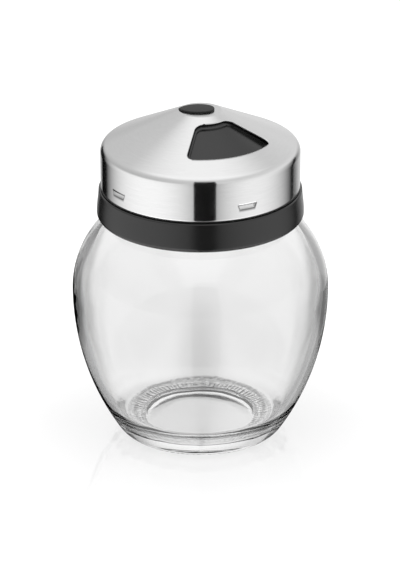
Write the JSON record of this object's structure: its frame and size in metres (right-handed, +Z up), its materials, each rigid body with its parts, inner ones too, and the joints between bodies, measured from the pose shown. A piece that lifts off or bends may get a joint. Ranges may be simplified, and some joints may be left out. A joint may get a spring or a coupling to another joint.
{
  "type": "spice shaker",
  "caption": "Round glass spice shaker with a black screw cap and a turning conical steel cover whose window picks blank, sprinkling or pouring openings.",
  "frame": {"origin": "centre of the ring that the jar stands on", "axes": "+Z up along the axis of the jar and the cap; -Y is the front of the picture, +X to its right"},
  "size_m": [0.075, 0.075, 0.1001],
  "materials": {
    "clear_glass": "clear fire-polished glass with a stippled foot ring",
    "soft_liner": "matt white soft seal",
    "black_plastic": "satin moulded black plastic",
    "brushed_steel": "steel brushed round the axis",
    "black_button": "satin black plastic"
  },
  "bodies": {
    "jar": {"glass_jar": "clear_glass"},
    "seal": {"cap_liner": "soft_liner"},
    "cap": {"screw_cap": "black_plastic", "hub_button": "black_button"},
    "cover": {"steel_cover": "brushed_steel"}
  },
  "joints": [
    {"name": "cap_lift", "type": "slide", "parent": "jar", "child": "seal", "axis": [0, 0, 1], "range_m": [0, 0.03]},
    {"name": "cap_unscrew", "type": "hinge", "parent": "seal", "child": "cap", "pos_m": [0, 0, 0.076], "axis": [0, 0, 1], "range_deg": [0, 900]},
    {"name": "cover_turn", "type": "hinge", "parent": "cap", "child": "cover", "pos_m": [0, 0, 0.09], "axis": [0, 0, 1], "continuous": true}
  ],
  "couplings": [
    {"joint": "cap_lift", "follows": "cap_unscrew", "m_per_rad": 0.0019098}
  ]
}
